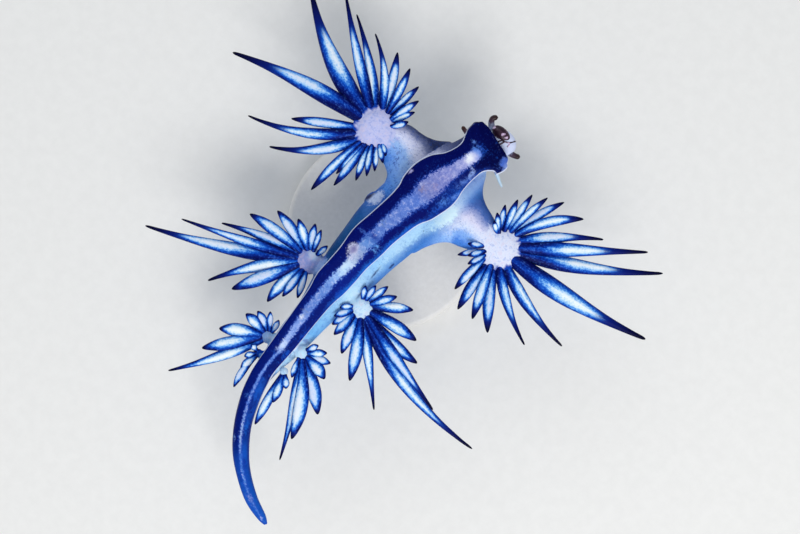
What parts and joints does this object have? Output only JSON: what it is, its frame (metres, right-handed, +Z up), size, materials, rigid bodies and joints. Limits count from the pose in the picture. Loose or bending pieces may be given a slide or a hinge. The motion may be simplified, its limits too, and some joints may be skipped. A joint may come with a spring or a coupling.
{
  "type": "blue dragon sea slug model",
  "caption": "Life-size museum model of a blue dragon sea slug floating belly up, arms and tapering cerata spread in fans, tail curled aside, held by rods on a small round stand.",
  "frame": {"origin": "middle of the underside of the round stand, on the surface it rests on", "axes": "+Z up, which is the slug's belly side as it floats upside down; +Y along the trunk towards the head; +X to the slug's own left"},
  "size_m": [0.0431, 0.0406, 0.0128],
  "materials": {
    "flank_skin": "moist satin skin, pearly pale blue with slate shading and fine dark speckle",
    "sole_skin": "moist satin skin, deep navy bands with a pale lavender midline and a fine white rim",
    "cerata_skin": "moist satin skin, royal blue roots and edges, icy white middles, near-black tips",
    "pale_skin": "moist satin skin, translucent whitish lavender",
    "feeler_skin": "moist satin skin, dark brown to slate blue",
    "stand_base": "fine satin, off-white",
    "stand_steel": "brushed along the rod"
  },
  "bodies": {
    "root": {"arm_left": "flank_skin", "arm_right": "flank_skin", "body_front": "flank_skin", "body_middle": "flank_skin", "body_rear": "flank_skin", "cerata_front_left_aft": "cerata_skin", "cerata_front_left_fore": "cerata_skin", "cerata_front_right_aft": "cerata_skin", "cerata_front_right_fore": "cerata_skin", "cerata_hind_left": "cerata_skin", "cerata_hind_right": "cerata_skin", "cerata_middle_left_aft": "cerata_skin", "cerata_middle_left_fore": "cerata_skin", "cerata_middle_right_aft": "cerata_skin", "cerata_middle_right_fore": "cerata_skin", "cerata_rear_left": "cerata_skin", "cerata_rear_right": "cerata_skin", "foot_front": "sole_skin", "foot_middle": "sole_skin", "foot_rear": "sole_skin", "head": "flank_skin", "mouth": "feeler_skin", "oral_tentacle_left": "feeler_skin", "oral_tentacle_right": "feeler_skin", "papilla": "pale_skin", "rhinophore_left": "feeler_skin", "rhinophore_right": "feeler_skin", "snout": "pale_skin", "stand_base": "stand_base", "stand_rod_front": "stand_steel", "stand_rod_rear": "stand_steel", "tail_base": "sole_skin", "tail_middle": "sole_skin", "tail_tip": "sole_skin"}
  },
  "joints": []
}
